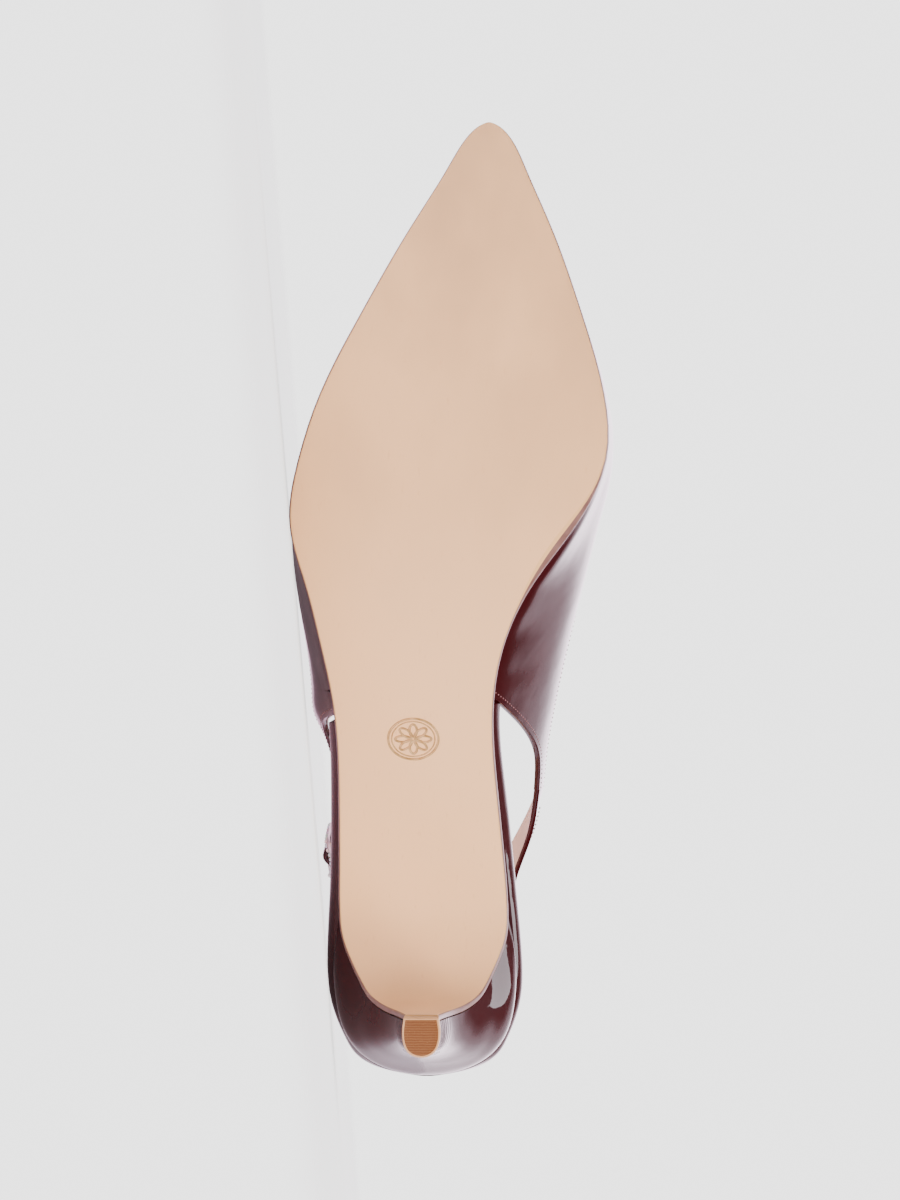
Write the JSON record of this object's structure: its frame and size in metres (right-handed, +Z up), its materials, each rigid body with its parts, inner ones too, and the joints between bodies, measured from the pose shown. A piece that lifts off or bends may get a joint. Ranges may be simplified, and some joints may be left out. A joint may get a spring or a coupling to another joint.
{
  "type": "slingback pump",
  "caption": "Right-foot slingback pump with a pointed toe, kitten heel, buckled heel strap and one-piece sole, lying on its outer side.",
  "frame": {"origin": "bottom centre of the bounding box, on the floor the shoe lies on", "axes": "X from the toe to the heel, Y from the sole to the opening (the tread faces -Y), Z up from the outer side of the foot to the inner"},
  "size_m": [0.25, 0.1042, 0.0858],
  "materials": {
    "patent": "burgundy patent leather, high gloss",
    "sole_leather": "nude leather, smooth satin",
    "lift": "tan moulded rubber, matte",
    "buckle_metal": "polished pale metal"
  },
  "bodies": {
    "root": {"outsole": "sole_leather", "heel": "patent", "top_lift": "lift", "insole_board": "patent", "insole_sock": "sole_leather", "upper": "patent", "sling_strap": "patent", "buckle_tab": "patent", "buckle_frame": "buckle_metal", "buckle_prong": "buckle_metal"}
  },
  "joints": []
}
